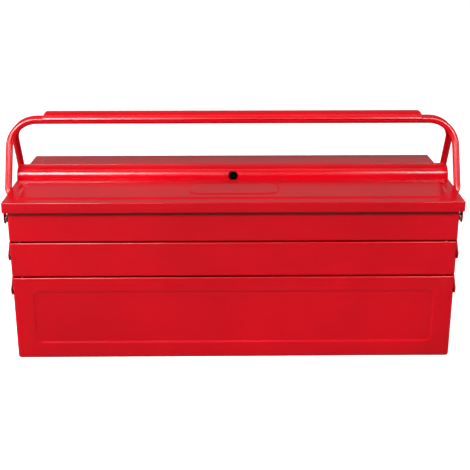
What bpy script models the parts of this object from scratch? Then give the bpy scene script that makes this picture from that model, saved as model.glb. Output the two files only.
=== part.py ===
"""Five-compartment cantilever toolbox of painted sheet steel.

A deep base tray carries two mid trays and two top trays on riveted levers. Each top tray has a lid that
opens outwards, and a tubular bail handle. Pull the sides apart and the trays swing out level, in steps.

+X is the box's length, +Y its rear, +Z up. The origin is the centre of the base's underside.
"""

import math

import bmesh
import bpy
from mathutils import Matrix, Vector

MM = 0.001

# Trays
BOX_LENGTH = 531 * MM
BOX_DEPTH = 205 * MM
BASE_HEIGHT = 106 * MM
MID_TRAY_HEIGHT = 43.5 * MM
TOP_TRAY_HEIGHT = 43.5 * MM
TRAY_GAP = 0.5 * MM
CENTRE_GAP = 1.5 * MM
SHEET = 1.2 * MM
CORNER_RADIUS = 3 * MM
TRAY_BOTTOM_RADIUS = 4.5 * MM
BASE_BOTTOM_RADIUS = 4.5 * MM
PANEL_MARGIN = 18 * MM
PANEL_STEP = 2 * MM
PANEL_DEPTH = 1 * MM

# Levers, which stand off the tray ends by the running gap
PIVOT_INSET = 7.5 * MM
PIVOT_BELOW_RIM = 17 * MM
INNER_PIVOT_INSET = 10.25 * MM
LEVER_WIDTH = 14 * MM
LEVER_THICKNESS = 1.2 * MM
RUNNING_GAP = 0.3 * MM

# Rivets
RIVET_RADIUS = 2.4 * MM
HOLE_CLEARANCE = 0.3 * MM
HEAD_RADIUS = 4.2 * MM
HEAD_THICKNESS = 1 * MM

# Lids
LID_SHEET = 1 * MM
LID_FRONT_OVERHANG = 6.5 * MM
LID_ABOVE_RIM = 7.5 * MM
LID_RIM_HEIGHT = 12 * MM
LID_EDGE_RADIUS = 2 * MM
LID_RISE = 1.8 * MM
RIDGE_HEIGHT = 15 * MM
RIDGE_HALF_WIDTH = 17 * MM
HINGE_INSET = 7.5 * MM
HINGE_BELOW_RIM = 15.5 * MM
EAR_HALF_WIDTH = 6 * MM
PADLOCK_HOLE_RADIUS = 5.5 * MM
PADLOCK_HOLE_ABOVE_LID = 5 * MM

# Handles
TUBE_RADIUS = 4.3 * MM
HANDLE_REACH = 98.5 * MM
BAIL_BEND = 32 * MM
TUBES_APART = 0.4 * MM
FOOT_WIDTH = 13 * MM
FOOT_THICKNESS = 2 * MM
FOOT_LENGTH = 22 * MM
TUBE_START = 11 * MM
LEG_STANDOFF = 0.4 * MM
GRIP_LENGTH = 467 * MM
GRIP_SHEET = 1.2 * MM
GRIP_RADIUS = 13.4 * MM
GRIP_SEAT_ANGLE = math.radians(150)
GRIP_FRONT_ANGLE = math.radians(154)
GRIP_REAR_ANGLE = math.radians(72)

# Facets
HOLE_SEGMENTS = 10
RIVET_SEGMENTS = 10
TUBE_SEGMENTS = 12
BEND_STEPS = 7
ROUND_STEPS = 3
RIDGE_STEPS = 7

HALF_LENGTH = BOX_LENGTH / 2
HALF_DEPTH = BOX_DEPTH / 2
MID_FLOOR = BASE_HEIGHT + TRAY_GAP
MID_RIM = MID_FLOOR + MID_TRAY_HEIGHT
TOP_FLOOR = MID_RIM + TRAY_GAP
TOP_RIM = TOP_FLOOR + TOP_TRAY_HEIGHT

# Pivots of the front side, each as (y, z), in three equally spaced columns. The rear side mirrors them in Y.
OUTER = -(HALF_DEPTH - PIVOT_INSET)
INNER = -(CENTRE_GAP / 2 + INNER_PIVOT_INSET)
MIDDLE = (OUTER + INNER) / 2
BASE_LEVEL = BASE_HEIGHT - PIVOT_BELOW_RIM
MID_LEVEL = MID_RIM - PIVOT_BELOW_RIM
TOP_LEVEL = TOP_RIM - PIVOT_BELOW_RIM
PIVOTS = {
    "base_outer": (OUTER, BASE_LEVEL),
    "base_inner": (MIDDLE, BASE_LEVEL),
    "mid_outer": (OUTER, MID_LEVEL),
    "mid_centre": (MIDDLE, MID_LEVEL),
    "mid_inner": (INNER, MID_LEVEL),
    "top_outer": (MIDDLE, TOP_LEVEL),
    "top_inner": (INNER, TOP_LEVEL),
    "lid_hinge": (-(HALF_DEPTH - HINGE_INSET), TOP_RIM - HINGE_BELOW_RIM),
}

# Layers outwards from a tray's end wall, each as (near, far) in X
LEVER_NEAR = HALF_LENGTH + RUNNING_GAP
LEVER_FAR = LEVER_NEAR + LEVER_THICKNESS
LID_INSIDE = LEVER_FAR + 2 * RUNNING_GAP
LID_OUTSIDE = LID_INSIDE + LID_SHEET
FOOT_NEAR = LID_OUTSIDE + 2.5 * RUNNING_GAP
FOOT_FAR = FOOT_NEAR + FOOT_THICKNESS
TUBE_CENTRE = FOOT_NEAR + LEG_STANDOFF + TUBE_RADIUS

SIDES = {"front": 1, "rear": -1}
ENDS = {"left": -1, "right": 1}


def paint(name, colour, roughness, metallic=0.0):
    """A Principled material."""
    material = bpy.data.materials.new(name)
    material.use_nodes = True
    shader = material.node_tree.nodes["Principled BSDF"]
    shader.inputs["Base Color"].default_value = (*colour, 1)
    shader.inputs["Roughness"].default_value = roughness
    shader.inputs["Metallic"].default_value = metallic
    return material


def add_object(name, bm, material, origin=(0, 0, 0), sharp=30):
    """Closes a bmesh built in world space into an object whose origin is at the given point."""
    bmesh.ops.translate(bm, verts=bm.verts, vec=-Vector(origin))
    bmesh.ops.recalc_face_normals(bm, faces=bm.faces)
    mesh = bpy.data.meshes.new(name)
    bm.to_mesh(mesh)
    bm.free()
    mesh.materials.append(material)
    mesh.shade_smooth()
    mesh.set_sharp_from_angle(angle=math.radians(sharp))
    made = bpy.data.objects.new(name, mesh)
    made.location = origin
    bpy.context.scene.collection.objects.link(made)
    return made


def helper(made):
    """Marks a cutter or a shape that is joined to another."""
    made.hide_render = True
    made.display_type = "WIRE"
    return made


def boolean(target, other, operation="DIFFERENCE"):
    modifier = target.modifiers.new(other.name, "BOOLEAN")
    modifier.operation = operation
    modifier.solver = "EXACT"
    modifier.object = other


def place(side, pivot, x=0.0):
    """A pivot's point in space on the front or the rear side."""
    y, z = PIVOTS[pivot]
    return Vector((x, SIDES[side] * y, z))


def mirror_to(bm, side):
    """Turns a shape that was built for the front side over to the rear side."""
    if SIDES[side] < 0:
        bmesh.ops.scale(bm, vec=(1, -1, 1), verts=bm.verts)


def prism(outline, x_low, x_high):
    """A closed outline of (y, z) points, extruded along X."""
    bm = bmesh.new()
    face = bm.faces.new([bm.verts.new((x_low, y, z)) for y, z in outline])
    grown = bmesh.ops.extrude_face_region(bm, geom=[face])["geom"]
    moved = [item for item in grown if isinstance(item, bmesh.types.BMVert)]
    bmesh.ops.translate(bm, verts=moved, vec=(x_high - x_low, 0, 0))
    return bm


def arc(centre, radii, start, end, steps):
    """Points (y, z) on an elliptical arc, both ends included."""
    turn = [start + (end - start) * step / steps for step in range(steps + 1)]
    return [(centre[0] + radii[0] * math.cos(a), centre[1] + radii[1] * math.sin(a)) for a in turn]


def strap_outline(start, end, half_width, steps=6):
    """A strip with round ends from one (y, z) point to another."""
    angle = math.atan2(end[1] - start[1], end[0] - start[0])
    radii = (half_width, half_width)
    quarter = math.pi / 2
    far_end = arc(end, radii, angle - quarter, angle + quarter, steps)
    near_end = arc(start, radii, angle + quarter, angle + 3 * quarter, steps)
    return far_end + near_end


def tray(name, y_low, y_high, floor, rim, bottom_radius, material, origin, panel=False):
    """An open-topped pressed tray: rounded box, hollowed from above."""
    bm = bmesh.new()
    bmesh.ops.create_cube(bm, size=1)
    bmesh.ops.scale(bm, vec=(BOX_LENGTH, y_high - y_low, rim - floor), verts=bm.verts)
    bmesh.ops.translate(bm, vec=(0, (y_low + y_high) / 2, (floor + rim) / 2), verts=bm.verts)

    upright = [e for e in bm.edges if abs(e.verts[0].co.z - e.verts[1].co.z) > bottom_radius]
    round_off(bm, upright, CORNER_RADIUS)
    lowest = [e for e in bm.edges if all(abs(v.co.z - floor) < SHEET / 100 for v in e.verts)]
    round_off(bm, lowest, bottom_radius)

    top = max(bm.faces, key=lambda face: face.calc_center_median().z)
    bmesh.ops.inset_region(bm, faces=[top], thickness=SHEET, use_even_offset=True)
    sunk = bmesh.ops.extrude_face_region(bm, geom=[top])["geom"]
    bmesh.ops.delete(bm, geom=[top], context="FACES")
    inner_floor = [item for item in sunk if isinstance(item, bmesh.types.BMFace)]
    inner_verts = [item for item in sunk if isinstance(item, bmesh.types.BMVert)]
    bmesh.ops.translate(bm, vec=(0, 0, floor + SHEET - rim), verts=inner_verts)
    inner_edges = [e for face in inner_floor for e in face.edges]
    round_off(bm, inner_edges, bottom_radius - 0.6 * SHEET)
    bmesh.ops.recalc_face_normals(bm, faces=bm.faces)
    if panel:
        press_panels(bm)
    return add_object(name, bm, material, origin)


def round_off(bm, edges, radius):
    bmesh.ops.bevel(bm, geom=edges, offset=radius, offset_type="OFFSET", affect="EDGES",
                    segments=ROUND_STEPS, profile=0.5, material=-1, clamp_overlap=True)


def press_panels(bm):
    """Sinks one long rectangular panel into the front wall and one into the rear wall."""
    walls = [f for f in bm.faces if abs(f.normal.y) > 0.999 and f.calc_area() > BOX_LENGTH * BASE_HEIGHT / 2]
    for wall in walls:
        outside = wall.normal.y * wall.calc_center_median().y > 0
        extra = 0 if outside else -SHEET
        bmesh.ops.inset_individual(bm, faces=[wall], thickness=PANEL_MARGIN + extra)
        depth = -PANEL_DEPTH if outside else PANEL_DEPTH
        bmesh.ops.inset_individual(bm, faces=[wall], thickness=PANEL_STEP, depth=depth)


def lever(name, side, end, start, stop, material):
    """A flat strap between two pivots, on the outside of the tray ends."""
    outline = strap_outline(PIVOTS[start], PIVOTS[stop], LEVER_WIDTH / 2)
    bm = prism(outline, LEVER_NEAR, LEVER_FAR)
    bmesh.ops.scale(bm, vec=(ENDS[end], 1, 1), verts=bm.verts)
    mirror_to(bm, side)
    return add_object(name, bm, material, place(side, start))


def turned(name, side, end, pivot, profile, material):
    """A round piece on a pivot's axis, from (radius, distance from the box's middle) points."""
    bm = bmesh.new()
    points = [bm.verts.new((x, radius, 0)) for radius, x in profile]
    edges = [bm.edges.new(pair) for pair in zip(points, points[1:])]
    bmesh.ops.spin(bm, geom=points + edges, cent=(0, 0, 0), axis=(1, 0, 0), angle=math.tau,
                   steps=RIVET_SEGMENTS, use_merge=True, use_duplicate=False)
    bmesh.ops.remove_doubles(bm, verts=bm.verts, dist=1e-6)
    bmesh.ops.scale(bm, vec=(ENDS[end], 1, 1), verts=bm.verts)
    centre = place(side, pivot)
    bmesh.ops.translate(bm, vec=centre, verts=bm.verts)
    return add_object(name, bm, material, centre)


def rivet_profile(outside, shoulder_end=None):
    """A rivet with its small head inside the tray wall and its domed head at the given distance."""
    inner_face = HALF_LENGTH - SHEET - RUNNING_GAP
    wall_face = HALF_LENGTH + RUNNING_GAP
    profile = [(0, inner_face - HEAD_THICKNESS), (HEAD_RADIUS, inner_face - HEAD_THICKNESS)]
    profile += [(HEAD_RADIUS, inner_face), (RIVET_RADIUS, inner_face)]
    if shoulder_end:
        profile += [(RIVET_RADIUS, wall_face), (HEAD_RADIUS, wall_face)]
        profile += [(HEAD_RADIUS, shoulder_end), (RIVET_RADIUS, shoulder_end)]
    dome = HEAD_THICKNESS
    profile += [(RIVET_RADIUS, outside), (HEAD_RADIUS, outside), (HEAD_RADIUS * 0.8, outside + dome * 0.6)]
    profile += [(0, outside + dome)]
    return profile


def ring_profile(inner, outer, near, far):
    return [(inner, near), (outer, near), (outer, far), (inner, far), (inner, near)]


def hole_cutter(side, pivot):
    """A round cutter on a pivot's axis, through both ends of the box."""
    bm = bmesh.new()
    radius = RIVET_RADIUS + HOLE_CLEARANCE
    length = 2 * (FOOT_FAR + 2 * HEAD_THICKNESS)
    turn = Matrix.Rotation(math.pi / 2, 4, "Y")
    bmesh.ops.create_cone(bm, cap_ends=True, segments=HOLE_SEGMENTS, radius1=radius, radius2=radius,
                          depth=length, matrix=turn)
    centre = place(side, pivot)
    bmesh.ops.translate(bm, vec=centre, verts=bm.verts)
    return helper(add_object(f"cutter_{side}_{pivot}", bm, None, centre))


def lid_top(inset):
    """The lid's top from the outer edge to the ridge's crest, as (y, z), moved inwards by a thickness."""
    edge = -(HALF_DEPTH + LID_FRONT_OVERHANG) + inset
    top = TOP_RIM + LID_ABOVE_RIM - inset
    radius = LID_EDGE_RADIUS - min(inset, 0.5 * LID_EDGE_RADIUS)
    crest_y = -CENTRE_GAP / 2 - inset
    ridge = RIDGE_HALF_WIDTH - CENTRE_GAP / 2 - inset - inset
    corner = arc((edge + radius, top - radius), (radius, radius), math.pi, math.pi / 2, ROUND_STEPS)
    foot_z = top + LID_RISE
    crest = arc((crest_y, foot_z), (ridge, RIDGE_HEIGHT), math.pi, math.pi / 2, RIDGE_STEPS)
    return corner + crest


def lid(side, material):
    """A lid pressed from one sheet: deep rim, panel that rises to the centre, quarter-round ridge, two ears."""
    rim_bottom = TOP_RIM + LID_ABOVE_RIM - LID_RIM_HEIGHT
    outer = lid_top(0)
    outside = [(outer[0][0], rim_bottom)] + outer + [(outer[-1][0], rim_bottom)]
    inner = lid_top(LID_SHEET)
    below = rim_bottom - LID_RIM_HEIGHT
    flange_bottom = TOP_RIM + 1.5 * RUNNING_GAP
    hollow = [(inner[0][0], below)] + inner + [(inner[-1][0], flange_bottom), (LID_SHEET, flange_bottom)]
    hollow += [(LID_SHEET, below)]
    shell = prism(outside, -LID_OUTSIDE, LID_OUTSIDE)
    mirror_to(shell, side)
    origin = place(side, "lid_hinge")
    made = add_object(f"{side}_lid", shell, material, origin)
    cavity = prism(hollow, -LID_INSIDE, LID_INSIDE)
    mirror_to(cavity, side)
    boolean(made, helper(add_object(f"cutter_{side}_lid_inside", cavity, None, origin)))

    hinge_y, hinge_z = PIVOTS["lid_hinge"]
    for end, sign in ENDS.items():
        top_of_ear = (hinge_y, rim_bottom + LID_SHEET)
        outline = strap_outline((hinge_y, hinge_z), top_of_ear, EAR_HALF_WIDTH)
        ear = prism(outline, sign * LID_INSIDE, sign * LID_OUTSIDE)
        mirror_to(ear, side)
        joined = helper(add_object(f"{side}_{end}_ear", ear, material, origin))
        boolean(made, joined, "UNION")

    bm = bmesh.new()
    centre_z = TOP_RIM + LID_ABOVE_RIM + LID_RISE + PADLOCK_HOLE_ABOVE_LID
    turn = Matrix.Rotation(math.pi / 2, 4, "X")
    bmesh.ops.create_cone(bm, cap_ends=True, segments=4 * ROUND_STEPS + 4, radius1=PADLOCK_HOLE_RADIUS,
                          radius2=PADLOCK_HOLE_RADIUS, depth=2 * RIDGE_HALF_WIDTH, matrix=turn)
    centre = Vector((0, -SIDES[side] * RIDGE_HALF_WIDTH, centre_z))
    bmesh.ops.translate(bm, vec=centre, verts=bm.verts)
    boolean(made, helper(add_object(f"cutter_{side}_padlock", bm, None, centre)))
    return made


def new_ring(geom):
    """The verts and edges of the ring that an extrusion or a spin ends on."""
    verts = [item for item in geom if isinstance(item, bmesh.types.BMVert)]
    edges = {edge for vert in verts for edge in vert.link_edges if edge.other_vert(vert) in verts}
    return verts, list(edges)


def bail_tube(half_width, height):
    """A U of round tube, feet down, in the XZ plane."""
    bm = bmesh.new()
    start = Matrix.Translation((-half_width, 0, TUBE_START))
    ring = bmesh.ops.create_circle(bm, segments=TUBE_SEGMENTS, radius=TUBE_RADIUS, matrix=start)["verts"]
    verts, edges = new_ring(ring)
    straight = height - BAIL_BEND
    moves = [Vector((0, 0, straight - TUBE_START)), Vector((2 * (half_width - BAIL_BEND), 0, 0)),
             Vector((0, 0, TUBE_START - straight))]
    bends = [Vector((BAIL_BEND - half_width, 0, straight)), Vector((half_width - BAIL_BEND, 0, straight))]
    for index, move in enumerate(moves):
        verts, edges = new_ring(bmesh.ops.extrude_edge_only(bm, edges=edges)["geom"])
        bmesh.ops.translate(bm, verts=verts, vec=move)
        if index < len(bends):
            swung = bmesh.ops.spin(bm, geom=verts + edges, cent=bends[index], axis=(0, 1, 0),
                                   angle=math.pi / 2, steps=BEND_STEPS, use_duplicate=False)
            verts, edges = new_ring(swung["geom_last"])
    bmesh.ops.holes_fill(bm, edges=[e for e in bm.edges if e.is_boundary], sides=TUBE_SEGMENTS)
    return bm


def handle_top():
    """The centre of the front handle's bar at rest, where the two bars lie side by side."""
    return -(TUBE_RADIUS + TUBES_APART / 2), PIVOTS["top_outer"][1] + HANDLE_REACH


def handle(side, material):
    """A bail with flattened feet, which leans in until its bar meets the other handle's."""
    foot_y, foot_z = PIVOTS["top_outer"]
    bar_y, bar_z = handle_top()
    height = math.hypot(bar_y - foot_y, bar_z - foot_z)
    lean = Matrix.Rotation(-math.atan2(bar_y - foot_y, bar_z - foot_z), 4, "X")
    origin = place(side, "top_outer")

    def lean_and_place(bm):
        bmesh.ops.transform(bm, matrix=lean, verts=bm.verts)
        bmesh.ops.translate(bm, vec=(0, foot_y, foot_z), verts=bm.verts)
        mirror_to(bm, side)
        return bm

    tube = lean_and_place(bail_tube(TUBE_CENTRE, height))
    made = add_object(f"{side}_handle", tube, material, origin)
    for end, sign in ENDS.items():
        outline = strap_outline((0, 0), (0, FOOT_LENGTH), FOOT_WIDTH / 2)
        foot = lean_and_place(prism(outline, sign * FOOT_NEAR, sign * FOOT_FAR))
        joined = helper(add_object(f"{side}_{end}_foot", foot, material, origin))
        boolean(made, joined, "UNION")
    return made


def grip_cover(material):
    """An arched sheet along both bars, seated on the front bar."""
    bar = Vector(handle_top())
    reach = GRIP_RADIUS - TUBE_RADIUS - RUNNING_GAP
    centre = bar - reach * Vector((math.cos(GRIP_SEAT_ANGLE), math.sin(GRIP_SEAT_ANGLE)))
    outer = GRIP_RADIUS + GRIP_SHEET
    top = arc(centre, (outer, outer), GRIP_FRONT_ANGLE, GRIP_REAR_ANGLE, 2 * RIDGE_STEPS)
    underside = arc(centre, (GRIP_RADIUS, GRIP_RADIUS), GRIP_REAR_ANGLE, GRIP_FRONT_ANGLE, 2 * RIDGE_STEPS)
    bm = prism(top + underside, -GRIP_LENGTH / 2, GRIP_LENGTH / 2)
    return add_object("grip_cover", bm, material, place("front", "top_outer"))


def build():
    for old in list(bpy.data.objects):
        bpy.data.objects.remove(old, do_unlink=True)

    red = paint("red_paint", (0.66, 0.004, 0.014), 0.3)
    steel = paint("zinc_steel", (0.55, 0.56, 0.57), 0.35, 1.0)

    levers = {
        "long_lever": ("base_outer", "mid_centre", "top_inner"),
        "lower_short_lever": ("base_inner", "mid_inner"),
        "upper_short_lever": ("mid_outer", "top_outer"),
    }
    tray_holes = {
        "base_tray": ("base_outer", "base_inner"),
        "mid_tray": ("mid_outer", "mid_centre", "mid_inner"),
        "top_tray": ("top_outer", "top_inner", "lid_hinge"),
    }

    base = tray("base_tray", -HALF_DEPTH, HALF_DEPTH, 0, BASE_HEIGHT, BASE_BOTTOM_RADIUS, red, (0, 0, 0), True)
    grip_cover(red)

    for side, sign in SIDES.items():
        cutters = {pivot: hole_cutter(side, pivot) for pivot in PIVOTS}
        reach = sorted((-sign * HALF_DEPTH, -sign * CENTRE_GAP / 2))
        mid = tray(f"{side}_mid_tray", *reach, MID_FLOOR, MID_RIM, TRAY_BOTTOM_RADIUS, red,
                   place(side, "mid_centre"))
        top = tray(f"{side}_top_tray", *reach, TOP_FLOOR, TOP_RIM, TRAY_BOTTOM_RADIUS, red,
                   place(side, "top_inner"))
        for body, holes in ((base, "base_tray"), (mid, "mid_tray"), (top, "top_tray")):
            for pivot in tray_holes[holes]:
                boolean(body, cutters[pivot])

        boolean(lid(side, red), cutters["lid_hinge"])
        boolean(handle(side, red), cutters["top_outer"])

        for end in ENDS:
            for kind, pivots in levers.items():
                made = lever(f"{side}_{kind}_{end}", side, end, pivots[0], pivots[-1], red)
                for pivot in pivots:
                    boolean(made, cutters[pivot])
            heads = {pivot: LEVER_FAR + RUNNING_GAP for pivot in PIVOTS}
            heads["top_outer"] = FOOT_FAR + RUNNING_GAP
            for pivot, outside in heads.items():
                shoulder = LID_INSIDE - RUNNING_GAP if pivot == "lid_hinge" else None
                head = LID_OUTSIDE + RUNNING_GAP if pivot == "lid_hinge" else outside
                turned(f"{side}_{pivot}_rivet_{end}", side, end, pivot, rivet_profile(head, shoulder), steel)
            bush = ring_profile(RIVET_RADIUS + HOLE_CLEARANCE, HEAD_RADIUS,
                                LEVER_FAR + RUNNING_GAP, FOOT_NEAR - RUNNING_GAP)
            turned(f"{side}_handle_bush_{end}", side, end, "top_outer", bush, steel)


build()
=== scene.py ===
"""The looks of a five-compartment cantilever toolbox in glossy red enamel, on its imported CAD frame."""

import math

import bmesh
import bpy
from mathutils import Matrix, Vector


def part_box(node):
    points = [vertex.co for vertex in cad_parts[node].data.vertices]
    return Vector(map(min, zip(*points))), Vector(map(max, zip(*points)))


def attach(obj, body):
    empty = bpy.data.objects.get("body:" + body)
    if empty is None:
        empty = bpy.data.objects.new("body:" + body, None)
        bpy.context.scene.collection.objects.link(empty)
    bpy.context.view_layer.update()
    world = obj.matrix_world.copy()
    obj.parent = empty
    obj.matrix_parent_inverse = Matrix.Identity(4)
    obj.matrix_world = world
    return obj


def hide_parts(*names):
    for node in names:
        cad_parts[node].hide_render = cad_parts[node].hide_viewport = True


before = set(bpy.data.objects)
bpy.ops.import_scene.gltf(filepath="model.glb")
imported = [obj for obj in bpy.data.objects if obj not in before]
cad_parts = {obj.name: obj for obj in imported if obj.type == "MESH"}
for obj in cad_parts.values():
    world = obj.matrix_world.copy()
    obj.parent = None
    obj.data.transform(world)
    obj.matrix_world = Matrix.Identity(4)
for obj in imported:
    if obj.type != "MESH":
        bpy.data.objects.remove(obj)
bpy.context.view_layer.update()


# ---------------------------------------------------------------- trays
# Each tray is one sheet of mild steel, pressed into a box with its rim rolled into a bead. The deep base
# also has a long panel sunk into each side. Trays, lids and handles are sprayed with glossy red stoving
# enamel, which has a faint orange peel and a few dust nibs, and draws thin along the edges.

MM = 0.001
SIDES = {"front": 1, "rear": -1}
NEAR = MM / 100
TRAY_SHEET = 0.9 * MM
BEAD_RADIUS = 1.4 * MM
BEAD_PROUD = 0.7 * MM
BEAD_TAIL = 2.2 * MM
TRAY_CORNER = 3.5 * MM
TRAY_FOOT_RADIUS = 5 * MM
PANEL_END_MARGIN = 23 * MM
PANEL_TOP_MARGIN = 16 * MM
PANEL_FOOT_MARGIN = 20 * MM
PANEL_CORNER = 9 * MM
PANEL_SLOPE = 2.4 * MM
PANEL_SUNK = 1.3 * MM
PANEL_EDGE = 0.9 * MM
NIB_HEIGHT = 0.6
NIBS_ABOVE = 0.985
WORN_ROUGHER = 0.2
SMUDGE_ROUGHER = 0.07
PEEL_STRENGTH = 0.025


def group_of(name, inputs, outputs):
    """A shader node group with its sockets made, and its input and output nodes."""
    tree = bpy.data.node_groups.new(name, "ShaderNodeTree")
    for label, kind, default in inputs:
        socket = tree.interface.new_socket(label, in_out="INPUT", socket_type=kind)
        socket.default_value = default
    for label, kind in outputs:
        tree.interface.new_socket(label, in_out="OUTPUT", socket_type=kind)
    return tree, tree.nodes.new("NodeGroupInput"), tree.nodes.new("NodeGroupOutput")


def wire(tree, kind, values=None, links=None, **settings):
    """Adds a node, sets its properties and values, and joins its inputs to the sockets that feed them."""
    node = tree.nodes.new(kind)
    for key, value in settings.items():
        setattr(node, key, value)
    for socket, value in (values or {}).items():
        node.inputs[socket].default_value = value
    for socket, source in (links or {}).items():
        tree.links.new(source, node.inputs[socket])
    return node


def noise(tree, place, scale, detail=2.0, roughness=0.5):
    values = {"Scale": scale, "Detail": detail, "Roughness": roughness}
    return wire(tree, "ShaderNodeTexNoise", values, {"Vector": place}).outputs["Fac"]


def remap(tree, value, low, high, to_low=0.0, to_high=1.0):
    values = {"From Min": low, "From Max": high, "To Min": to_low, "To Max": to_high}
    return wire(tree, "ShaderNodeMapRange", values, {"Value": value}).outputs["Result"]


def math_node(tree, operation, first, second):
    node = tree.nodes.new("ShaderNodeMath")
    node.operation = operation
    for socket, item in zip(node.inputs, (first, second)):
        if isinstance(item, (int, float)):
            socket.default_value = item
        else:
            tree.links.new(item, socket)
    return node.outputs[0]


def mix_colour(tree, factor, first, second):
    node = tree.nodes.new("ShaderNodeMix")
    node.data_type = "RGBA"
    for socket, item in zip((node.inputs[0], node.inputs[6], node.inputs[7]), (factor, first, second)):
        if isinstance(item, (tuple, float)):
            socket.default_value = item
        else:
            tree.links.new(item, socket)
    return node.outputs[2]


def orange_peel():
    """The sprayed coat's own relief, broad dimples and scattered dust nibs, as a height."""
    tree, given, result = group_of(
        "Orange Peel",
        [("Dimple Scale", "NodeSocketFloat", 420.0), ("Nib Scale", "NodeSocketFloat", 90.0)],
        [("Height", "NodeSocketFloat")])
    place = wire(tree, "ShaderNodeTexCoord").outputs["Object"]
    dimples = wire(tree, "ShaderNodeTexNoise", {"Detail": 1.5, "Roughness": 0.45},
                   {"Vector": place, "Scale": given.outputs["Dimple Scale"]}).outputs["Fac"]
    cells = wire(tree, "ShaderNodeTexVoronoi", {"Randomness": 1.0},
                 {"Vector": place, "Scale": given.outputs["Nib Scale"]})
    drawn = wire(tree, "ShaderNodeSeparateColor", None, {"Color": cells.outputs["Color"]}).outputs[0]
    picked = math_node(tree, "GREATER_THAN", drawn, NIBS_ABOVE)
    bead = remap(tree, cells.outputs["Distance"], 0.05, 0.0)
    nibs = math_node(tree, "MULTIPLY", picked, bead)
    height = math_node(tree, "ADD", dimples, math_node(tree, "MULTIPLY", nibs, NIB_HEIGHT))
    tree.links.new(height, result.inputs["Height"])
    return tree


def edge_wear():
    """A mask along the folded edges, broken up by noise, where a coat is thin and gets rubbed."""
    tree, given, result = group_of(
        "Edge Wear",
        [("Width", "NodeSocketFloat", 0.0012), ("Amount", "NodeSocketFloat", 0.5)],
        [("Mask", "NodeSocketFloat")])
    rounded = wire(tree, "ShaderNodeBevel", None, {"Radius": given.outputs["Width"]}, samples=4)
    plain = wire(tree, "ShaderNodeNewGeometry")
    match = wire(tree, "ShaderNodeVectorMath", None,
                 {0: rounded.outputs["Normal"], 1: plain.outputs["Normal"]}, operation="DOT_PRODUCT")
    edge = remap(tree, match.outputs["Value"], 0.995, 0.9)
    place = wire(tree, "ShaderNodeTexCoord").outputs["Object"]
    broken = remap(tree, noise(tree, place, 60.0, 4.0, 0.65), 0.42, 0.62)
    mask = math_node(tree, "MULTIPLY", math_node(tree, "MULTIPLY", edge, broken), given.outputs["Amount"])
    tree.links.new(mask, result.inputs["Mask"])
    return tree


def flow_tone():
    """Slow tone changes and handling smudges, as two masks round a half."""
    tree, given, result = group_of(
        "Flow Tone", [("Scale", "NodeSocketFloat", 7.0)],
        [("Tone", "NodeSocketFloat"), ("Smudge", "NodeSocketFloat")])
    place = wire(tree, "ShaderNodeTexCoord").outputs["Object"]
    tone = wire(tree, "ShaderNodeTexNoise", {"Detail": 3.0, "Roughness": 0.5},
                {"Vector": place, "Scale": given.outputs["Scale"]}).outputs["Fac"]
    smudge = remap(tree, noise(tree, place, 38.0, 5.0, 0.6), 0.35, 0.75)
    tree.links.new(tone, result.inputs["Tone"])
    tree.links.new(smudge, result.inputs["Smudge"])
    return tree


PEEL = orange_peel()
WEAR = edge_wear()
FLOW = flow_tone()


def use(tree, group, **values):
    """Places a node group, with values for some of its inputs."""
    node = tree.nodes.new("ShaderNodeGroup")
    node.node_tree = group
    for label, value in values.items():
        node.inputs[label.replace("_", " ").title()].default_value = value
    return node


def enamel(name, colour, roughness, wear, peel_height):
    """Red enamel: the colour drifts with the flow and thins at the edges, and smudges dull the gloss."""
    made = bpy.data.materials.new(name)
    made.use_nodes = True
    tree = made.node_tree
    shader = tree.nodes["Principled BSDF"]
    flow = use(tree, FLOW)
    thin = use(tree, WEAR, amount=wear)
    peel = use(tree, PEEL)
    deep = tuple(0.86 * c for c in colour) + (1.0,)
    bright = tuple(min(1.0, 1.06 * c) for c in colour) + (1.0,)
    worn = (colour[0] * 0.8, 0.006, 0.009, 1.0)
    tone = mix_colour(tree, remap(tree, flow.outputs["Tone"], 0.3, 0.7), deep, bright)
    tree.links.new(mix_colour(tree, thin.outputs["Mask"], tone, worn), shader.inputs["Base Color"])
    dulled = remap(tree, flow.outputs["Smudge"], 0.0, 1.0, roughness, roughness + SMUDGE_ROUGHER)
    dulled = math_node(tree, "ADD", dulled, math_node(tree, "MULTIPLY", thin.outputs["Mask"], WORN_ROUGHER))
    tree.links.new(dulled, shader.inputs["Roughness"])
    bump = wire(tree, "ShaderNodeBump", {"Strength": PEEL_STRENGTH, "Distance": peel_height},
                {"Height": peel.outputs["Height"]})
    tree.links.new(bump.outputs["Normal"], shader.inputs["Normal"])
    shader.inputs["IOR"].default_value = 1.5
    shader.inputs["Specular IOR Level"].default_value = 0.4
    return made


def finish(bm, name, body, nodes, material, sharp=32):
    """A finished piece from a bmesh in the row frame: painted, on its body, in place of its nodes."""
    mesh = bpy.data.meshes.new(name)
    bm.to_mesh(mesh)
    bm.free()
    mesh.materials.append(material)
    mesh.shade_smooth()
    mesh.set_sharp_from_angle(angle=math.radians(sharp))
    piece = bpy.data.objects.new(name, mesh)
    bpy.context.scene.collection.objects.link(piece)
    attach(piece, body)
    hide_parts(*nodes)
    return piece


def bake_modifiers(piece):
    """Turns a piece's modifiers into its mesh."""
    graph = bpy.context.evaluated_depsgraph_get()
    settled = bpy.data.meshes.new_from_object(piece.evaluated_get(graph))
    piece.modifiers.clear()
    piece.data = settled


def add_sheet(piece, thickness):
    """Gives an open skin its sheet thickness, inwards from the outside."""
    wall = piece.modifiers.new("sheet", "SOLIDIFY")
    wall.thickness = thickness
    wall.offset = -1
    wall.use_even_offset = True
    bpy.context.view_layer.update()
    bake_modifiers(piece)


def even_shading(piece):
    """Keeps flat faces flat right up to their soft edges."""
    even = piece.modifiers.new("even shading", "WEIGHTED_NORMAL")
    even.mode = "FACE_AREA"
    even.weight = 60
    even.keep_sharp = True


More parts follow.
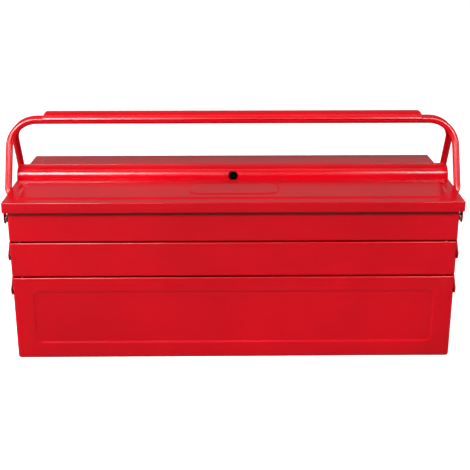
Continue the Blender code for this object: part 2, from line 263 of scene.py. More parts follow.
tray_red = enamel("tray enamel", (0.74, 0.0004, 0.009), 0.2, 0.45, 0.00025)


def only(kind, geometry):
    """The faces, edges or verts in what an operator gave back."""
    return [item for item in geometry if isinstance(item, kind)]


def soften(bm, edges, radius, segments=3):
    bmesh.ops.bevel(bm, geom=edges, offset=radius, offset_type="OFFSET", affect="EDGES",
                    segments=segments, profile=0.5, material=-1, clamp_overlap=True)


def round_corners(bm, face, radius, segments=6):
    bmesh.ops.bevel(bm, geom=list(face.verts), offset=radius, offset_type="OFFSET", affect="VERTICES",
                    segments=segments, profile=0.5, material=-1)


def sink_panel(bm, wall, low, high):
    """Presses a rounded rectangular panel into one long wall, with a soft step all round."""
    bmesh.ops.inset_individual(bm, faces=[wall], thickness=PANEL_TOP_MARGIN, use_even_offset=True)
    middle = (low.z + high.z) / 2
    for vert in wall.verts:
        vert.co.x = math.copysign(high.x - PANEL_END_MARGIN, vert.co.x)
        vert.co.z = high.z - PANEL_TOP_MARGIN if vert.co.z > middle else low.z + PANEL_FOOT_MARGIN
    y = wall.calc_center_median().y
    round_corners(bm, wall, PANEL_CORNER)
    panel = max((f for f in bm.faces if abs(f.calc_center_median().y - y) < MM / 10 and
                 abs(f.normal.y) > 0.99 and abs(f.calc_center_median().x) < MM and
                 low.z + PANEL_FOOT_MARGIN < f.calc_center_median().z < high.z - PANEL_TOP_MARGIN),
                key=lambda f: f.calc_area())
    rim = list(panel.edges)
    bmesh.ops.inset_individual(bm, faces=[panel], thickness=PANEL_SLOPE, depth=-PANEL_SUNK,
                               use_even_offset=True)
    soften(bm, rim + list(panel.edges), PANEL_EDGE)


def curl_rim(bm, half, centre):
    """Rolls the open rim inwards round a bead, then down inside the wall."""
    rim = [edge for edge in bm.edges if edge.is_boundary]
    turns = [math.radians(a) for a in (150, 120, 90, 60, 30, 0)]
    path = [(BEAD_RADIUS * (1 + math.cos(a)) - BEAD_PROUD, BEAD_RADIUS * math.sin(a)) for a in turns]
    path = [(-BEAD_PROUD, 0.0)] + path + [(path[-1][0], -BEAD_TAIL)]
    spot = (0.0, 0.0)
    for inward, up in path:
        grown = bmesh.ops.extrude_edge_only(bm, edges=rim)["geom"]
        verts = only(bmesh.types.BMVert, grown)
        rim = [edge for edge in only(bmesh.types.BMEdge, grown) if all(vert in verts for vert in edge.verts)]
        step = inward - spot[0]
        about = Matrix.Translation(-centre)
        factors = (1 - step / (half.x - spot[0]), 1 - step / (half.y - spot[0]), 1)
        bmesh.ops.scale(bm, vec=factors, space=about, verts=verts)
        bmesh.ops.translate(bm, vec=(0, 0, up - spot[1]), verts=verts)
        spot = (inward, up)


def pressed_tray(node, body, panels=False):
    """A tray's box without its top, with or without panels, its rim rolled and its sheet given."""
    low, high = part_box(node)
    wall_low = low + Vector((BEAD_PROUD, BEAD_PROUD, 0))
    wall_high = high - Vector((BEAD_PROUD, BEAD_PROUD, BEAD_RADIUS))
    centre, size = (wall_low + wall_high) / 2, wall_high - wall_low
    bm = bmesh.new()
    bmesh.ops.create_cube(bm, size=1)
    bmesh.ops.scale(bm, vec=size, verts=bm.verts)
    bmesh.ops.translate(bm, vec=centre, verts=bm.verts)
    upright = [e for e in bm.edges if abs(e.verts[0].co.z - e.verts[1].co.z) > size.z / 2]
    soften(bm, upright, TRAY_CORNER, 5)
    lowest = [e for e in bm.edges if all(abs(v.co.z - low.z) < NEAR for v in e.verts)]
    soften(bm, lowest, TRAY_FOOT_RADIUS, 6)
    mouth = max(bm.faces, key=lambda f: f.calc_center_median().z)
    bmesh.ops.delete(bm, geom=[mouth], context="FACES_ONLY")
    bmesh.ops.recalc_face_normals(bm, faces=bm.faces)
    if panels:
        for facing in (-1, 1):
            wall = max((f for f in bm.faces if f.normal.y * facing > 0.999), key=lambda f: f.calc_area())
            sink_panel(bm, wall, wall_low, wall_high)
    curl_rim(bm, size / 2, centre)
    floor = min(bm.faces, key=lambda f: f.calc_center_median().z)
    if floor.normal.z > 0:
        bmesh.ops.reverse_faces(bm, faces=bm.faces)
    piece = finish(bm, f"{node}_pressing", body, [node], tray_red)
    add_sheet(piece, TRAY_SHEET)
    even_shading(piece)
    return piece


pressed_tray("base_tray", "base", panels=True)
for side in SIDES:
    pressed_tray(f"{side}_mid_tray", f"{side}_mid")
    pressed_tray(f"{side}_top_tray", f"{side}_top")


# ---------------------------------------------------------------- levers
# Flat steel straps with round ends, blanked from thin strip, their edges tumbled and then enamelled. Three
# at each corner of the box keep every tray level as it swings out.

ENDS = {"left": -1, "right": 1}
STRAP_EDGE = 0.45 * MM
STRAP_SIDES = 40
STRAP_ENDS = {
    "long_lever": ("base_outer", "top_inner", "long_levers"),
    "lower_short_lever": ("base_inner", "mid_inner", "lower_short_levers"),
    "upper_short_lever": ("mid_outer", "top_outer", "upper_short_levers"),
}

# The levers' red is the trays' enamel made darker: painted shade for the shadow they sit in at the box's
# ends.
shaded_lever_red = enamel("lever enamel darkened as painted shade", (0.60, 0.0004, 0.009), 0.33, 0.8, 0.0002)


def pivot(side, name, end="left"):
    """The middle of a pivot, from its rivet's box."""
    low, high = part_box(f"{side}_{name}_rivet_{end}")
    return (low + high) / 2


def strap(side, kind, end):
    """A lever from one pivot to another, with half-round ends."""
    node = f"{side}_{kind}_{end}"
    start_name, stop_name, body = STRAP_ENDS[kind]
    low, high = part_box(node)
    start, stop = pivot(side, start_name), pivot(side, stop_name)
    start.x = stop.x = low.x
    radius = start.z - low.z
    bm = bmesh.new()
    along = (stop - start).normalized()
    turn = Matrix.Rotation(math.pi / 2, 4, "Y")
    turn = turn @ Matrix.Rotation(math.pi / STRAP_SIDES - math.atan2(along.z, along.y), 4, "Z")
    bmesh.ops.create_circle(bm, cap_ends=True, segments=STRAP_SIDES, radius=radius,
                            matrix=Matrix.Translation(start) @ turn)
    far = [vert for vert in bm.verts if (vert.co - start).dot(along) > 0]
    bmesh.ops.translate(bm, vec=stop - start, verts=far)
    grown = bmesh.ops.extrude_face_region(bm, geom=list(bm.faces))["geom"]
    bmesh.ops.translate(bm, vec=(high.x - low.x, 0, 0), verts=only(bmesh.types.BMVert, grown))
    outline = [e for e in bm.edges if abs(e.verts[0].co.x - e.verts[1].co.x) < NEAR]
    soften(bm, outline, STRAP_EDGE, 2)
    bmesh.ops.recalc_face_normals(bm, faces=bm.faces)
    piece = finish(bm, f"{node}_strap", f"{side}_{body}", [node], shaded_lever_red)
    even_shading(piece)
    return piece


for side in SIDES:
    for kind in STRAP_ENDS:
        for end in ENDS:
            strap(side, kind, end)


# ---------------------------------------------------------------- rivets and bushes
# Zinc-plated steel. A rivet has a low domed head outside and a flat clinched head inside the tray. The lid
# rivets have a shoulder, and a plain bush spaces each handle foot off its lever.

SHANK_RADIUS = 2.4 * MM
RIVET_HEAD = 4.2 * MM
RIVET_HEAD_HEIGHT = 1.3 * MM
CLINCH_HEIGHT = 0.9 * MM
CLINCH_RADIUS = 0.95 * RIVET_HEAD
CLINCH_FACE = 0.82 * RIVET_HEAD
RIVET_EDGE = 0.25 * MM
RUNNING_GAP = 0.3 * MM
SHOULDER_BEHIND_EAR = 1.4 * MM
DOME_STEPS = 6
SPIN_STEPS = 28
RIVETS = {
    "base_outer": "base", "base_inner": "base",
    "mid_outer": "mid", "mid_centre": "mid", "mid_inner": "mid",
    "top_outer": "top", "top_inner": "top", "lid_hinge": "top",
}


def zinc(name):
    """Dull zinc plate with a fine cloudy spangle, darker where it was struck."""
    made = bpy.data.materials.new(name)
    made.use_nodes = True
    tree = made.node_tree
    shader = tree.nodes["Principled BSDF"]
    place = wire(tree, "ShaderNodeTexCoord").outputs["Object"]
    cloud = noise(tree, place, 900.0, 4.0, 0.6)
    thin = use(tree, WEAR, amount=0.6, width=0.0005)
    tone = mix_colour(tree, remap(tree, cloud, 0.3, 0.7), (0.28, 0.28, 0.29, 1.0), (0.42, 0.42, 0.41, 1.0))
    struck = mix_colour(tree, thin.outputs["Mask"], tone, (0.2, 0.2, 0.2, 1.0))
    tree.links.new(struck, shader.inputs["Base Color"])
    tree.links.new(remap(tree, cloud, 0.3, 0.7, 0.36, 0.5), shader.inputs["Roughness"])
    bump = wire(tree, "ShaderNodeBump", {"Strength": 0.25, "Distance": 0.0001}, {"Height": cloud})
    tree.links.new(bump.outputs["Normal"], shader.inputs["Normal"])
    shader.inputs["Metallic"].default_value = 1.0
    return made


zinc_plate = zinc("zinc plate")


def turn_profile(points, centre, outward):
    """A turned piece on an X axis through centre, from (radius, distance along the axis) points."""
    bm = bmesh.new()
    chain = [bm.verts.new((x * outward, radius, 0)) for radius, x in points]
    edges = [bm.edges.new(pair) for pair in zip(chain, chain[1:])]
    bmesh.ops.spin(bm, geom=chain + edges, cent=(0, 0, 0), axis=(1, 0, 0), angle=math.tau,
                   steps=SPIN_STEPS, use_merge=True, use_duplicate=False)
    bmesh.ops.remove_doubles(bm, verts=bm.verts, dist=1e-6)
    bmesh.ops.recalc_face_normals(bm, faces=bm.faces)
    bmesh.ops.translate(bm, vec=(0, centre.y, centre.z), verts=bm.verts)
    return bm


def rivet(side, name, end):
    """A rivet from its clinched head inside the tray to its domed head outside the levers."""
    node = f"{side}_{name}_rivet_{end}"
    low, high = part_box(node)
    inner, outer = sorted((abs(low.x), abs(high.x)))
    head = outer - RIVET_HEAD_HEIGHT
    clinch = inner + CLINCH_HEIGHT
    points = [(0, inner), (CLINCH_FACE, inner), (CLINCH_RADIUS, inner + RIVET_EDGE),
              (CLINCH_RADIUS, clinch), (SHANK_RADIUS, clinch)]
    if name == "lid_hinge":
        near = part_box(f"{side}_top_tray")[1].x + RUNNING_GAP
        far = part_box(f"{side}_lid")[1].x - SHOULDER_BEHIND_EAR
        points += [(SHANK_RADIUS, near), (RIVET_HEAD, near), (RIVET_HEAD, far), (SHANK_RADIUS, far)]
    points += [(SHANK_RADIUS, head), (RIVET_HEAD, head), (RIVET_HEAD, head + RIVET_EDGE)]
    dome = RIVET_HEAD_HEIGHT - RIVET_EDGE
    for step in range(1, DOME_STEPS):
        angle = step * math.pi / 2 / DOME_STEPS
        points.append((RIVET_HEAD * math.cos(angle), head + RIVET_EDGE + dome * math.sin(angle)))
    points.append((0, outer))
    bm = turn_profile(points, pivot(side, name, end), ENDS[end])
    body = "base" if RIVETS[name] == "base" else f"{side}_{RIVETS[name]}"
    return finish(bm, f"{node}_turned", body, [node], zinc_plate)


def bush(side, end):
    """A short tube on the outer rivet of the top tray, between a short lever and a handle's foot."""
    node = f"{side}_handle_bush_{end}"
    low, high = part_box(node)
    near, far = sorted((abs(low.x), abs(high.x)))
    hole = SHANK_RADIUS + RUNNING_GAP
    rim = RIVET_HEAD - RIVET_EDGE
    points = [(hole, near), (rim, near), (RIVET_HEAD, near + RIVET_EDGE), (RIVET_HEAD, far - RIVET_EDGE),
              (rim, far), (hole, far), (hole, near)]
    bm = turn_profile(points, pivot(side, "top_outer", end), ENDS[end])
    return finish(bm, f"{node}_turned", f"{side}_top", [node], zinc_plate)


for side in SIDES:
    for end in ENDS:
        for name in RIVETS:
            rivet(side, name, end)
        bush(side, end)


# ---------------------------------------------------------------- lids
# Each lid is pressed from one sheet: a raised panel with a plain raised pad at its middle, a deep rim on
# three sides, and along the inner edge a quarter-round rib with a padlock hole. An ear at each end of the
# outer edge takes the hinge rivet.

LID_SHEET = 0.9 * MM
LID_FOLD = 1.8 * MM
LID_RISE = 1.8 * MM
LID_RIM = 12 * MM
RIB_WIDTH = 16.25 * MM
RIB_HEIGHT = 15 * MM
RIB_STEPS = 14
FLANGE_ABOVE_TRAY = 0.45 * MM
FIELD_SIDE = 12.7 * MM
FIELD_REAR = 13.5 * MM
FIELD_CORNER = 7 * MM
FIELD_SLOPE = 4.5 * MM
FIELD_RAISED = 1.5 * MM
PAD_HALF_LENGTH = 55 * MM
PAD_HALF_WIDTH = 20 * MM
PAD_CORNER = 15 * MM
PAD_SLOPE = 2.4 * MM
PAD_RAISED = 1.1 * MM
EAR_HALF_WIDTH = 6 * MM
EAR_ROUND = 5.6 * MM
PADLOCK_RADIUS = 5.8 * MM
PADLOCK_ABOVE_PANEL = 4.2 * MM
FLANGE_HOLE_RADIUS = 9 * MM
FLANGE_HOLE_ABOVE_PANEL = 1 * MM

lid_red = enamel("lid enamel", (0.72, 0.0004, 0.009), 0.18, 0.5, 0.0002)


def level_face(bm, x, y):
    """The smallest level face that is centred on (x, y)."""
    centred = [f for f in bm.faces if f.normal.z > 0.99
               and abs(f.calc_center_bounds().x - x) < MM and abs(f.calc_center_bounds().y - y) < MM]
    return min(centred, key=lambda f: f.calc_area())


def raise_panel(bm, x, y, corner, slope, height):
    """Rounds the corners of the level face centred on (x, y), and raises it on a soft slope."""
    round_corners(bm, level_face(bm, x, y), corner)
    panel = level_face(bm, x, y)
    creases = list(panel.edges)
    bmesh.ops.inset_individual(bm, faces=[panel], thickness=slope, depth=height, use_even_offset=True)
    soften(bm, creases + list(panel.edges), slope * 0.3, 3)


def split_face(bm, face, point, normal):
    """Cuts one face by a plane."""
    cut = [face] + list(face.edges) + list(face.verts)
    bmesh.ops.bisect_plane(bm, geom=cut, dist=1e-7, plane_co=point, plane_no=normal)


def open_edges(bm, test):
    """The open edges whose ends both pass a test of their place."""
    return [e for e in bm.edges if e.is_boundary and all(test(v.co) for v in e.verts)]


def grow_down(bm, edges, level):
    """Draws open edges straight down to a level, as a folded flange."""
    made = bmesh.ops.extrude_edge_only(bm, edges=edges)["geom"]
    ground = Matrix.Translation((0, 0, -level))
    bmesh.ops.scale(bm, vec=(1, 1, 0), space=ground, verts=only(bmesh.types.BMVert, made))


def drill(piece, spots, radius, axis="X", depth=8 * MM):
    """Drills round holes of one radius along an axis through a piece at the given spots."""
    bm = bmesh.new()
    turn = Matrix.Rotation(math.pi / 2, 4, "Y" if axis == "X" else "X")
    for spot in spots:
        bmesh.ops.create_cone(bm, cap_ends=True, segments=32, radius1=radius, radius2=radius, depth=depth,
                              matrix=Matrix.Translation(spot) @ turn)
    mesh = bpy.data.meshes.new("drill")
    bm.to_mesh(mesh)
    bm.free()
    bit = bpy.data.objects.new("drill", mesh)
    bpy.context.scene.collection.objects.link(bit)
    cut = piece.modifiers.new("drilled", "BOOLEAN")
    cut.operation = "DIFFERENCE"
    cut.solver = "EXACT"
    cut.object = bit
    bpy.context.view_layer.update()
    bake_modifiers(piece)
    bpy.data.objects.remove(bit)


def turn_to(bm, side):
    """Turns what was made for the front half a turn round, if it is for the rear."""
    if side == "rear":
        bmesh.ops.rotate(bm, cent=(0, 0, 0), matrix=Matrix.Rotation(math.pi, 3, "Z"), verts=bm.verts)


def raise_field(bm, panel, middle_y):
    """Raises the broad field inside a lid's flat top, and the plain pad at the field's middle."""
    bmesh.ops.inset_individual(bm, faces=[panel], thickness=FIELD_SIDE, use_even_offset=True)
    nearer = [v for v in panel.verts if v.co.y > middle_y]
    bmesh.ops.translate(bm, vec=(0, FIELD_SIDE - FIELD_REAR, 0), verts=nearer)
    field_y = panel.calc_center_bounds().y
    raise_panel(bm, 0, field_y, FIELD_CORNER, FIELD_SLOPE, FIELD_RAISED)
    for x in (-PAD_HALF_LENGTH, PAD_HALF_LENGTH):
        face = max((f for f in bm.faces if f.normal.z > 0.99), key=lambda f: f.calc_center_bounds().z *
                   1000 + f.calc_area())
        strip = [f for f in bm.faces if f.normal.z > 0.99 and
                 min(v.co.x for v in f.verts) < x < max(v.co.x for v in f.verts) and
                 abs(f.calc_center_bounds().z - face.calc_center_bounds().z) < NEAR]
        split_face(bm, max(strip, key=lambda f: f.calc_area()), (x, 0, 0), (1, 0, 0))
    for y in (field_y - PAD_HALF_WIDTH, field_y + PAD_HALF_WIDTH):
        strip = [f for f in bm.faces if f.normal.z > 0.99 and abs(f.calc_center_bounds().x) < MM and
                 min(v.co.y for v in f.verts) < y < max(v.co.y for v in f.verts)]
        split_face(bm, min(strip, key=lambda f: f.calc_area()), (0, y, 0), (0, 1, 0))
    raise_panel(bm, 0, field_y, PAD_CORNER, PAD_SLOPE, PAD_RAISED)


def spin_rib(bm, foot_y, foot_z, crest_y):
    """Rolls the inner edge up and over in a quarter round, and gives the edges along its crest."""
    foot = open_edges(bm, lambda p: abs(p.y - foot_y) < NEAR)
    ring = list({v for e in foot for v in e.verts})
    swung = bmesh.ops.spin(bm, geom=foot + ring, cent=(0, crest_y, foot_z), axis=(1, 0, 0),
                           angle=-math.pi / 2, steps=RIB_STEPS, use_duplicate=False)
    risen = [v for v in bm.verts if v.co.y > foot_y + NEAR]
    bmesh.ops.scale(bm, vec=(1, 1, RIB_HEIGHT / RIB_WIDTH), space=Matrix.Translation((0, 0, -foot_z)),
                    verts=risen)
    return only(bmesh.types.BMEdge, swung["geom_last"])


def grow_ear(bm, x, hinge, rim_bottom):
    """Lengthens the rim at one end into a rounded ear round the hinge rivet."""
    for offset in (-EAR_HALF_WIDTH, EAR_HALF_WIDTH):
        rim = [f for f in bm.faces if abs(abs(f.normal.x) - 1) < 0.001 and
               abs(f.calc_center_bounds().x - x) < MM / 10 and
               min(v.co.y for v in f.verts) < hinge.y + offset < max(v.co.y for v in f.verts) and
               min(v.co.z for v in f.verts) < rim_bottom + NEAR]
        split_face(bm, rim[0], (0, hinge.y + offset, 0), (0, 1, 0))
    root = open_edges(bm, lambda p: abs(p.x - x) < NEAR and abs(p.z - rim_bottom) < NEAR and
                      abs(p.y - hinge.y) < EAR_HALF_WIDTH + NEAR)
    ear_bottom = hinge.z - EAR_HALF_WIDTH
    grow_down(bm, root, ear_bottom)
    tips = [v for v in bm.verts if abs(v.co.x - x) < NEAR and abs(v.co.z - ear_bottom) < NEAR]
    bmesh.ops.bevel(bm, geom=tips, offset=EAR_ROUND, offset_type="OFFSET", affect="VERTICES",
                    segments=8, profile=0.5, material=-1)


def lid(side):
    """A lid, made as the front one: its top, rib, flange and rim, then its folds, ears and holes."""
    node = f"{side}_lid"
    low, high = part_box("front_lid")
    foot_y = high.y - RIB_WIDTH
    foot_z = high.z - RIB_HEIGHT
    top = foot_z - LID_RISE
    rim_bottom = top - LID_RIM
    flange_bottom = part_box("front_top_tray")[1].z + FLANGE_ABOVE_TRAY
    hinge = pivot("front", "lid_hinge")

    bm = bmesh.new()
    bmesh.ops.create_grid(bm, x_segments=1, y_segments=1, size=0.5)
    bmesh.ops.scale(bm, vec=(2 * high.x, foot_y - low.y, 1), verts=bm.verts)
    bmesh.ops.translate(bm, vec=(0, (foot_y + low.y) / 2, top), verts=bm.verts)
    bm.normal_update()
    if list(bm.faces)[0].normal.z < 0:
        bmesh.ops.reverse_faces(bm, faces=bm.faces)

    raise_field(bm, list(bm.faces)[0], (low.y + LID_FOLD + foot_y) / 2)
    shear = Matrix.Identity(4)
    shear[2][1] = LID_RISE / (foot_y - low.y)
    shear[2][3] = -low.y * shear[2][1]
    bmesh.ops.transform(bm, matrix=shear, verts=bm.verts)

    crest = spin_rib(bm, foot_y, foot_z, high.y)
    grow_down(bm, crest, flange_bottom)
    grow_down(bm, open_edges(bm, lambda p: p.y < foot_y + NEAR), rim_bottom)
    for x in (-high.x, high.x):
        chain = open_edges(bm, lambda p: abs(p.x - x) < NEAR and p.y > foot_y - NEAR)
        bmesh.ops.contextual_create(bm, geom=chain)

    bmesh.ops.recalc_face_normals(bm, faces=bm.faces)
    if max(bm.faces, key=lambda f: f.calc_area()).normal.z < 0:
        bmesh.ops.reverse_faces(bm, faces=bm.faces)
    folds = [e for e in bm.edges if len(e.link_faces) == 2 and
             e.calc_face_angle() > math.radians(60) and
             not all(abs(v.co.y - foot_y) < NEAR for v in e.verts)]
    soften(bm, folds, LID_FOLD, 4)
    for x in (-high.x, high.x):
        grow_ear(bm, x, hinge, rim_bottom)

    turn_to(bm, side)
    piece = finish(bm, f"{node}_pressing", node, [node], lid_red)
    add_sheet(piece, LID_SHEET)
    turn = SIDES[side]
    padlock_hole = Vector((0, turn * (high.y - RIB_WIDTH / 2), foot_z + PADLOCK_ABOVE_PANEL))
    flange_hole = Vector((0, turn * high.y, foot_z + FLANGE_HOLE_ABOVE_PANEL))
    drill(piece, [padlock_hole], PADLOCK_RADIUS, "Y", RIB_WIDTH + 4 * MM)
    drill(piece, [flange_hole], FLANGE_HOLE_RADIUS, "Y", 4 * MM)
    ears = [Vector((x, turn * hinge.y, hinge.z)) for x in (-high.x, high.x)]
    drill(piece, ears, SHANK_RADIUS + RUNNING_GAP)
    even_shading(piece)
    return piece


for side in SIDES:
    lid(side)


# ---------------------------------------------------------------- handles
# Two bails of bright-enamelled steel tube. The tube's ends are pressed flat and rounded into feet, which the
# top trays' outer rivets hold. At rest both bars lie side by side over the middle of the box.

TUBE_RADIUS = 4.3 * MM
TUBES_APART = 0.4 * MM
BEND_RADIUS = 32 * MM
BEND_STEPS = 14
FOOT_HALF_WIDTH = 6.5 * MM
FOOT_HALF_THICKNESS = 1 * MM
FOOT_OFF_BUSH = 0.25 * MM
FLAT_TO = 9 * MM
ROUND_FROM = 25 * MM
FLARE_STEPS = 8
TUBE_SIDES = 28

tube_red = enamel("tube enamel", (0.76, 0.0004, 0.009), 0.2, 0.5, 0.0002)


def drawn_on(bm, cap):
    """Lengthens a tube from its cap, and gives the new cap, which has yet to be moved."""
    return only(bmesh.types.BMFace, bmesh.ops.extrude_face_region(bm, geom=[cap])["geom"])[0]


def bail(side):
    """A handle, made as the front one: half of it from a foot to the bar's middle, then the other half."""
    node = f"{side}_handle"
    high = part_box(node)[1]
    foot = pivot("front", "top_outer")
    bush_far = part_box("front_handle_bush_right")[1].x
    foot_x = bush_far + FOOT_OFF_BUSH + FOOT_HALF_THICKNESS
    tube_x = high.x - TUBE_RADIUS
    bar = Vector((0, -(TUBE_RADIUS + TUBES_APART / 2), high.z - TUBE_RADIUS))
    reach = math.hypot(bar.y - foot.y, bar.z - foot.z)
    lean = -math.atan2(bar.y - foot.y, bar.z - foot.z)

    bm = bmesh.new()
    turn = Matrix.Rotation(math.pi / TUBE_SIDES, 4, "Z")
    bmesh.ops.create_circle(bm, cap_ends=True, segments=TUBE_SIDES, radius=1, matrix=turn)
    cap = list(bm.faces)[0]
    state = {"radius": 1.0, "spread": 0.0, "x": 0.0, "h": 0.0, "squeeze": 1.0}

    def settle(verts, radius, spread, x, h, squeeze=1.0):
        """Moves the last ring of points to a new cross-section and place on the leg."""
        here = Vector((state["x"], 0, state["h"]))
        at = Matrix.Translation(-here)
        front = [v for v in verts if v.co.y < 0]
        back = [v for v in verts if v.co.y >= 0]
        bmesh.ops.scale(bm, vec=(1, 1 / state["squeeze"], 1), space=at, verts=verts)
        bmesh.ops.translate(bm, vec=(0, state["spread"], 0), verts=front)
        bmesh.ops.translate(bm, vec=(0, -state["spread"], 0), verts=back)
        bmesh.ops.scale(bm, vec=(radius / state["radius"],) * 3, space=at, verts=verts)
        bmesh.ops.translate(bm, vec=(0, -spread, 0), verts=front)
        bmesh.ops.translate(bm, vec=(0, spread, 0), verts=back)
        bmesh.ops.scale(bm, vec=(1, squeeze, 1), space=at, verts=verts)
        bmesh.ops.translate(bm, vec=(x - state["x"], 0, h - state["h"]), verts=verts)
        state.update(radius=radius, spread=spread, x=x, h=h, squeeze=squeeze)

    flat = FOOT_HALF_WIDTH - FOOT_HALF_THICKNESS
    for degrees in (76, 60, 45, 30, 15, 0):
        angle = math.radians(degrees)
        h = -FOOT_HALF_WIDTH * math.sin(angle)
        settle(list(cap.verts), FOOT_HALF_THICKNESS, flat, foot_x, h, math.cos(angle))
        cap = drawn_on(bm, cap)
    for step in range(FLARE_STEPS + 1):
        t = step / FLARE_STEPS
        ease = t * t * (3 - 2 * t)
        radius = FOOT_HALF_THICKNESS + (TUBE_RADIUS - FOOT_HALF_THICKNESS) * ease
        x = foot_x + (tube_x - foot_x) * ease
        h = FLAT_TO + (ROUND_FROM - FLAT_TO) * t
        settle(list(cap.verts), radius, flat * (1 - ease), x, h)
        cap = drawn_on(bm, cap)
    settle(list(cap.verts), TUBE_RADIUS, 0.0, tube_x, reach - BEND_RADIUS)
    swung = bmesh.ops.spin(bm, geom=[cap], cent=(tube_x - BEND_RADIUS, 0, reach - BEND_RADIUS),
                           axis=(0, 1, 0), angle=-math.pi / 2, steps=BEND_STEPS, use_duplicate=False)
    cap = drawn_on(bm, only(bmesh.types.BMFace, swung["geom_last"])[0])
    bmesh.ops.translate(bm, vec=(-cap.calc_center_median().x, 0, 0), verts=list(cap.verts))
    inside = [f for f in bm.faces if len(f.verts) > 4 and f.calc_center_median().z > -FOOT_HALF_WIDTH / 2]
    bmesh.ops.delete(bm, geom=inside, context="FACES_ONLY")
    other = bmesh.ops.duplicate(bm, geom=list(bm.faces) + list(bm.edges) + list(bm.verts))["geom"]
    bmesh.ops.scale(bm, vec=(-1, 1, 1), verts=only(bmesh.types.BMVert, other))
    bmesh.ops.remove_doubles(bm, verts=bm.verts, dist=1e-6)
    bmesh.ops.recalc_face_normals(bm, faces=bm.faces)
    bmesh.ops.rotate(bm, cent=(0, 0, 0), matrix=Matrix.Rotation(lean, 3, "X"), verts=bm.verts)
    bmesh.ops.translate(bm, vec=(0, foot.y, foot.z), verts=bm.verts)
    turn_to(bm, side)
    piece = finish(bm, f"{node}_bail", node, [node], tube_red, sharp=50)
    feet = [Vector((x, SIDES[side] * foot.y, foot.z)) for x in (-foot_x, foot_x)]
    drill(piece, feet, SHANK_RADIUS + RUNNING_GAP)
    even_shading(piece)
    return piece


for side in SIDES:
    bail(side)


# ---------------------------------------------------------------- grip cover
# A strip of sheet rolled into an arch over both bars, so that the hand meets one smooth grip. It is welded
# to the front bar and only rests over the rear one, and its ends are cut aslant.

COVER_SHEET = 1.1 * MM
COVER_INSIDE = 13.4 * MM
COVER_FRONT = math.radians(154)
COVER_REAR = math.radians(72)
COVER_SEAT = math.radians(150)
COVER_STEPS = 18
COVER_SLANT = 4.6 * MM
COVER_EDGE = 0.35 * MM


def grip_cover():
    """A line spun into an arch over the bars, its ends slanted, then given its sheet and soft edges."""
    low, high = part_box("grip_cover")
    outside = COVER_INSIDE + COVER_SHEET
    bar = Vector((0, -(TUBE_RADIUS + TUBES_APART / 2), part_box("front_handle")[1].z - TUBE_RADIUS))
    reach = COVER_INSIDE - TUBE_RADIUS - RUNNING_GAP
    centre = bar - reach * Vector((0, math.cos(COVER_SEAT), math.sin(COVER_SEAT)))
    bm = bmesh.new()
    lip = Vector((0, math.cos(COVER_FRONT), math.sin(COVER_FRONT))) * outside + centre
    ends = [bm.verts.new((x, lip.y, lip.z)) for x in (low.x, high.x)]
    edge = bm.edges.new(ends)
    bmesh.ops.spin(bm, geom=ends + [edge], cent=centre, axis=(1, 0, 0), angle=COVER_REAR - COVER_FRONT,
                   steps=COVER_STEPS, use_duplicate=False)
    rear_y = max(v.co.y for v in bm.verts)
    front_y = min(v.co.y for v in bm.verts)
    for sign in (-1, 1):
        shear = Matrix.Identity(4)
        shear[0][1] = -sign * COVER_SLANT / (rear_y - front_y)
        shear[0][3] = -front_y * shear[0][1]
        bmesh.ops.transform(bm, matrix=shear, verts=[v for v in bm.verts if v.co.x * sign > 0])
    bmesh.ops.recalc_face_normals(bm, faces=bm.faces)
    topmost = max(bm.faces, key=lambda f: f.calc_center_median().z)
    if topmost.normal.z < 0:
        bmesh.ops.reverse_faces(bm, faces=bm.faces)
    piece = finish(bm, "grip_cover_strip", "front_handle", ["grip_cover"], tube_red, sharp=40)
    add_sheet(piece, COVER_SHEET)
    rounded = piece.modifiers.new("edges", "BEVEL")
    rounded.width = COVER_EDGE
    rounded.segments = 2
    rounded.limit_method = "ANGLE"
    rounded.angle_limit = math.radians(40)
    bpy.context.view_layer.update()
    bake_modifiers(piece)
    even_shading(piece)
    return piece


grip_cover()


# ---------------------------------------------------------------- floor
# A plain pale sweep of matt paper. It glows to the eye, so that it stays white all the way back, and is
# grey in what it lights or is mirrored in.

FLOOR_HALF = 30.0
GLOW = 0.9
GREY = 0.22


def seen_directly(tree):
    """One where the eye meets the surface itself, and nought in what it lights or reflects."""
    return wire(tree, "ShaderNodeLightPath").outputs["Is Camera Ray"]


def floor():
    """The paper, from a grid so large that its edge is past the horizon."""
    bm = bmesh.new()
    bmesh.ops.create_grid(bm, x_segments=1, y_segments=1, size=FLOOR_HALF)
    mesh = bpy.data.meshes.new("studio_floor")
    bm.to_mesh(mesh)
    bm.free()
    paper = bpy.data.materials.new("paper")
    paper.use_nodes = True
    tree = paper.node_tree
    shader = tree.nodes["Principled BSDF"]
    place = wire(tree, "ShaderNodeTexCoord").outputs["Object"]
    tone = remap(tree, noise(tree, place, 2.0, 3.0), 0.3, 0.7)
    white = mix_colour(tree, tone, (0.88, 0.88, 0.88, 1.0), (0.9, 0.9, 0.9, 1.0))
    dim = (GREY, GREY, GREY, 1.0)
    tree.links.new(mix_colour(tree, seen_directly(tree), dim, white), shader.inputs["Base Color"])
    shader.inputs["Roughness"].default_value = 0.9
    shader.inputs["Specular IOR Level"].default_value = 0.05
    shader.inputs["Emission Color"].default_value = (1.0, 1.0, 1.0, 1.0)
    glow = math_node(tree, "MULTIPLY", seen_directly(tree), GLOW)
    tree.links.new(glow, shader.inputs["Emission Strength"])
    mesh.materials.append(paper)
    piece = bpy.data.objects.new("studio_floor", mesh)
    bpy.context.scene.collection.objects.link(piece)


floor()


# ---------------------------------------------------------------- light
# A large soft box before and above the box lights it. Two upper ones are only mirrored, as the gloss on the
# bars, rib and folds. A tall strip at each side and a long one overhead do both, in a dim room that is
# darkest behind the camera.

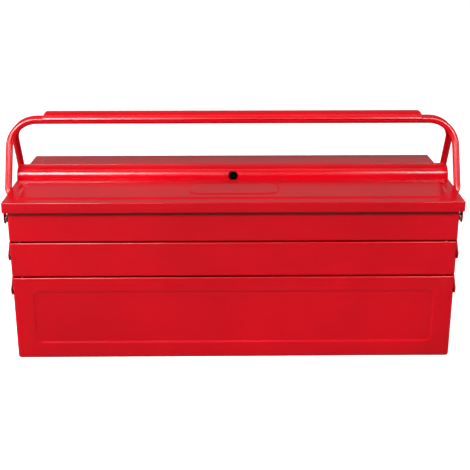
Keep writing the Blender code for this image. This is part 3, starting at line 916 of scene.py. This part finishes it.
def soft_box(name, place, target, size, power, lights=True, mirrored=True):
    """A rectangular lamp turned to a target, which can be left out of matt light or of reflections."""
    lamp = bpy.data.lights.new(name, "AREA")
    lamp.shape = "RECTANGLE"
    lamp.size, lamp.size_y = size
    lamp.energy = power
    holder = bpy.data.objects.new(name, lamp)
    bpy.context.scene.collection.objects.link(holder)
    holder.location = place
    holder.rotation_euler = (Vector(target) - Vector(place)).to_track_quat("-Z", "Y").to_euler()
    holder.visible_diffuse = lights
    holder.visible_glossy = mirrored


soft_box("key", (-0.45, -1.45, 1.35), (0, 0, 0.16), (1.6, 0.4), 36, mirrored=False)
soft_box("upper left", (-0.8, -1.3, 1.75), (0, 0, 0.2), (1.0, 0.42), 66, lights=False)
soft_box("upper right", (1.0, -1.3, 1.75), (0, 0, 0.2), (0.8, 0.42), 36, lights=False)
soft_box("left strip", (-1.4, -0.35, 0.6), (0, 0, 0.2), (0.2, 1.0), 8)
soft_box("right strip", (1.4, -0.35, 0.6), (0, 0, 0.2), (0.2, 1.0), 6)
soft_box("overhead", (0, -0.3, 2.3), (0, 0, 0), (2.6, 0.3), 4)


def studio_room():
    """The room behind it all: white to the eye, and dim in reflections and matt light."""
    room = bpy.data.worlds.new("studio room")
    room.use_nodes = True
    tree = room.node_tree
    back = tree.nodes["Background"]
    way = wire(tree, "ShaderNodeTexCoord").outputs["Generated"]
    split = wire(tree, "ShaderNodeSeparateXYZ", None, {"Vector": way})
    depth = remap(tree, split.outputs["Y"], -0.5, 0.9, 0.012, 0.26)
    shade = tree.nodes.new("ShaderNodeMix")
    tree.links.new(seen_directly(tree), shade.inputs[0])
    tree.links.new(depth, shade.inputs[2])
    shade.inputs[3].default_value = 1.0
    tree.links.new(shade.outputs[0], back.inputs["Strength"])
    back.inputs["Color"].default_value = (1.0, 1.0, 1.0, 1.0)
    bpy.context.scene.world = room


studio_room()


# ---------------------------------------------------------------- camera
# A 72 mm lens about 1.15 m before the box, a little over twice its height, looking slightly down.

CAMERA_PLACE = Vector((-11.7, -1145.4, 525.0)) * MM
CAMERA_PITCH = math.radians(19.31)
CAMERA_YAW = math.radians(0.71)

lens = bpy.data.cameras.new("camera")
lens.lens = 72.03
lens.sensor_width = 36
lens.clip_end = 100
camera = bpy.data.objects.new("camera", lens)
bpy.context.scene.collection.objects.link(camera)
camera.location = CAMERA_PLACE
camera.rotation_euler = (math.pi / 2 - CAMERA_PITCH, 0, -CAMERA_YAW)
bpy.context.scene.camera = camera
bpy.context.scene.view_settings.view_transform = "Standard"


def plain(bounds):
    """Bounds as plain lists of numbers."""
    return [[float(value) for value in corner] for corner in bounds]


bpy.context.view_layer.update()
